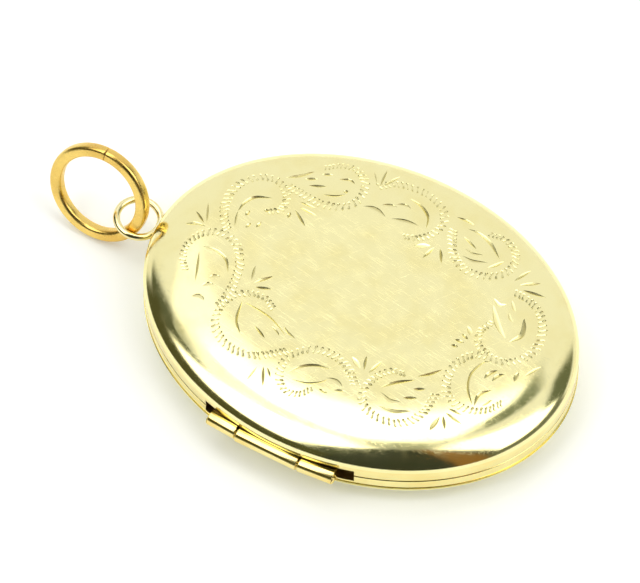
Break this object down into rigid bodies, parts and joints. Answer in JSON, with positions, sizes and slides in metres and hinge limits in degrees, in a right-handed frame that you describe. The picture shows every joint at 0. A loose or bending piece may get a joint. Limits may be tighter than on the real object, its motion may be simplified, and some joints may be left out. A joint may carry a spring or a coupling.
{
  "type": "oval hinged picture locket",
  "caption": "Oval gold locket with an engraved domed front, a side hinge, picture frames inside, an eyelet and a bail ring.",
  "frame": {"origin": "centre of the flat at the middle of the back, where the closed locket rests", "axes": "+Z through the locket to its engraved front, +Y towards the eyelet, the hinge on the -X side"},
  "size_m": [0.0264, 0.042, 0.0077],
  "materials": {
    "polished_gold": "polished, with fine wear scratches",
    "inside_gold": "bright rolled sheet",
    "hinge_gold": "polished",
    "pale_gold": "polished",
    "ring_gold": "satin, worn",
    "acetate": "clear sheet",
    "card": "blank matt card"
  },
  "bodies": {
    "back_half": {"back_cover": "polished_gold", "back_rim": "polished_gold", "snap_lip": "inside_gold", "snap_pip": "inside_gold", "back_frame": "inside_gold", "back_window": "acetate", "back_picture": "card", "hinge_knuckle_upper": "hinge_gold", "hinge_knuckle_lower": "hinge_gold", "hinge_pin": "hinge_gold", "eyelet": "pale_gold", "eyelet_solder": "pale_gold"},
    "front_half": {"front_cover": "polished_gold", "front_rim": "polished_gold", "hinge_knuckle_middle": "hinge_gold", "thumb_lip": "polished_gold", "front_frame": "inside_gold", "front_window": "acetate", "front_picture": "card"},
    "ring": {"bail_ring": "ring_gold"}
  },
  "joints": [
    {"name": "case_hinge", "type": "hinge", "parent": "back_half", "child": "front_half", "pos_m": [-0.01274, 0, 0.00252], "axis": [0, -1, 0], "range_deg": [0, 175]},
    {"name": "ring_swing", "type": "hinge", "parent": "back_half", "child": "ring", "pos_m": [-0.001, 0.01826, 0.00244], "axis": [0.9455, 0, -0.3256], "range_deg": [-32, 12]}
  ]
}
